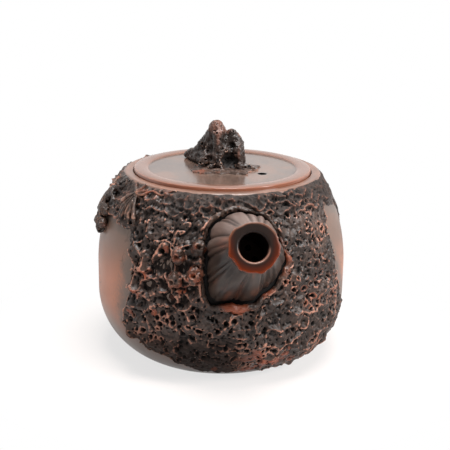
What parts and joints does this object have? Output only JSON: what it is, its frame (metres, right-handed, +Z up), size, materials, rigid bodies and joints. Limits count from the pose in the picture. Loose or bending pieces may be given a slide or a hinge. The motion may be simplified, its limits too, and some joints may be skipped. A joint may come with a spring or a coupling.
{
  "type": "clay teapot",
  "caption": "Small round clay teapot modelled as an old pine trunk: bark over a smooth wall, short straight spout, ear handle behind and a loose flat lid with a gnarled knob.",
  "frame": {"origin": "middle of the flat base, on the pot's axis, where it stands on the table", "axes": "+Z up along the pot's axis, -Y towards the spout, +Y towards the handle, +X to the right of someone looking at the spout"},
  "size_m": [0.0979, 0.1498, 0.0876],
  "materials": {
    "bare_clay": "satin, rust brown",
    "spout_clay": "satin, dark brown",
    "bark_clay": "rough, dark brown",
    "rust_clay": "rough, rust brown",
    "lid_clay": "satin, grey brown"
  },
  "bodies": {
    "pot": {"body_wall": "bare_clay", "base_disc": "bare_clay", "mouth_ring": "bare_clay", "spout": "spout_clay", "spout_strainer": "bare_clay", "handle": "bark_clay", "bark_front": "bark_clay", "bark_back": "bark_clay", "spout_bark_lip": "rust_clay", "bark_burls": "rust_clay", "pine_branch": "rust_clay", "pine_needles_front": "rust_clay", "pine_needles_side": "rust_clay", "pine_needles_back": "rust_clay"},
    "lid": {"lid_plate": "lid_clay", "lid_flange": "lid_clay", "knob_skirt": "bark_clay", "knob": "bark_clay"}
  },
  "joints": [
    {"name": "lid_lift", "type": "slide", "parent": "pot", "child": "lid", "axis": [0, 0, 1], "range_m": [0, 0.06]}
  ]
}
